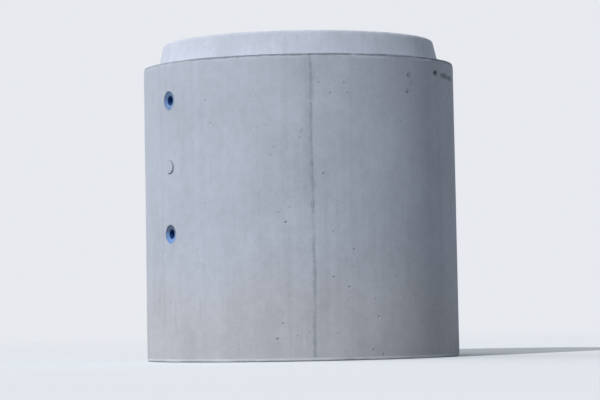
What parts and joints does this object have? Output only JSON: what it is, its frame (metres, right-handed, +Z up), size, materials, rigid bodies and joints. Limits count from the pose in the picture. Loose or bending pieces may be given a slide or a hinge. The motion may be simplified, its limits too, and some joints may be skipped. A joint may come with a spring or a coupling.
{
  "type": "concrete culvert ring",
  "caption": "Precast concrete ring that stands on end: drafted round wall, tapered tongue on top, groove below, plastic lift sockets and raised discs on the outside.",
  "frame": {"origin": "centre of the bottom edge, on the level that the ring stands on", "axes": "+Z up along the ring's axis to the tongue; the form's two halves part on the plane X = 0, and the front is -Y"},
  "size_m": [1.307, 1.307, 1.321],
  "materials": {
    "concrete": "cast against a steel form, matt, light blue-grey, with pores and a form seam",
    "socket_plastic": "moulded blue plastic, satin"
  },
  "bodies": {
    "root": {"concrete_ring": "concrete", "lift_socket_left_upper": "socket_plastic", "lift_socket_left_lower": "socket_plastic", "lift_socket_right_upper": "socket_plastic", "lift_socket_right_lower": "socket_plastic"}
  },
  "joints": []
}
